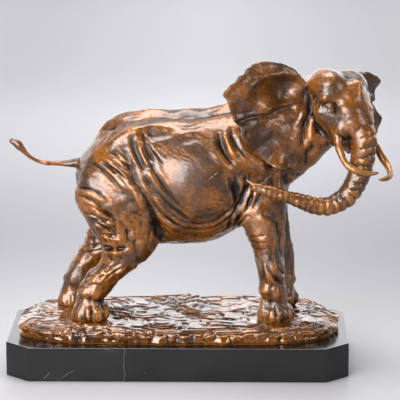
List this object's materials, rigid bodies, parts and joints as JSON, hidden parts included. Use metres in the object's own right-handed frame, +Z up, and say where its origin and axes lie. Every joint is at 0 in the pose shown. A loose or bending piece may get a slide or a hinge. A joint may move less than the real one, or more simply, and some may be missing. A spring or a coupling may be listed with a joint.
{
  "type": "elephant sculpture on plinth",
  "caption": "Cast bronze African elephant striding on a rocky bronze ground, head turned and trunk curled back, on an oblong black marble plinth with clipped corners.",
  "frame": {"origin": "centre of the plinth's flat underside", "axes": "+Z up, +X the way the elephant strides and the long side of the plinth, -Y the elephant's right side"},
  "size_m": [0.3376, 0.15, 0.2749],
  "materials": {
    "bronze": "cast bronze, brown patina rubbed to gold on the raised parts, waxed",
    "marble": "polished black marble with fine white flecks and veins"
  },
  "bodies": {
    "root": {"elephant": "bronze", "plinth": "marble"}
  },
  "joints": []
}
